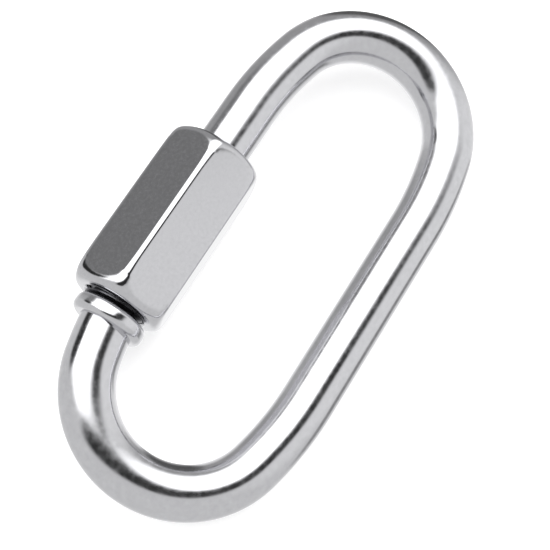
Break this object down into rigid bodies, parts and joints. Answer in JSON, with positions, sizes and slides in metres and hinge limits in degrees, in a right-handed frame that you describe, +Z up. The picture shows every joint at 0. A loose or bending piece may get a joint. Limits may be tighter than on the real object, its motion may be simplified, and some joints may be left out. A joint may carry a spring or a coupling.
{
  "type": "chain quick link",
  "caption": "Oval screw-gate quick link of polished round steel wire, closed by a hexagonal threaded sleeve, for joining chain ends, rings and rope eyes.",
  "frame": {"origin": "centre of the bounding box at floor level, with the link lying at rest on its plain leg and on the sleeve's lowest edge", "axes": "+X along the legs, from the collar towards the plain end of the gate; +Y across the link towards the sleeve; +Z up"},
  "size_m": [0.0426, 0.0208, 0.0079],
  "materials": {
    "polished_wire": "mirror-polished stainless steel",
    "polished_sleeve": "tumble-polished stainless steel, faintly grained flats"
  },
  "bodies": {
    "link": {"link_body": "polished_wire"},
    "sleeve": {"sleeve_nut": "polished_sleeve"}
  },
  "joints": [
    {"name": "sleeve_travel", "type": "slide", "parent": "link", "child": "sleeve", "axis": [1, 0, 0], "range_m": [-0.0003, 0.0077]}
  ]
}
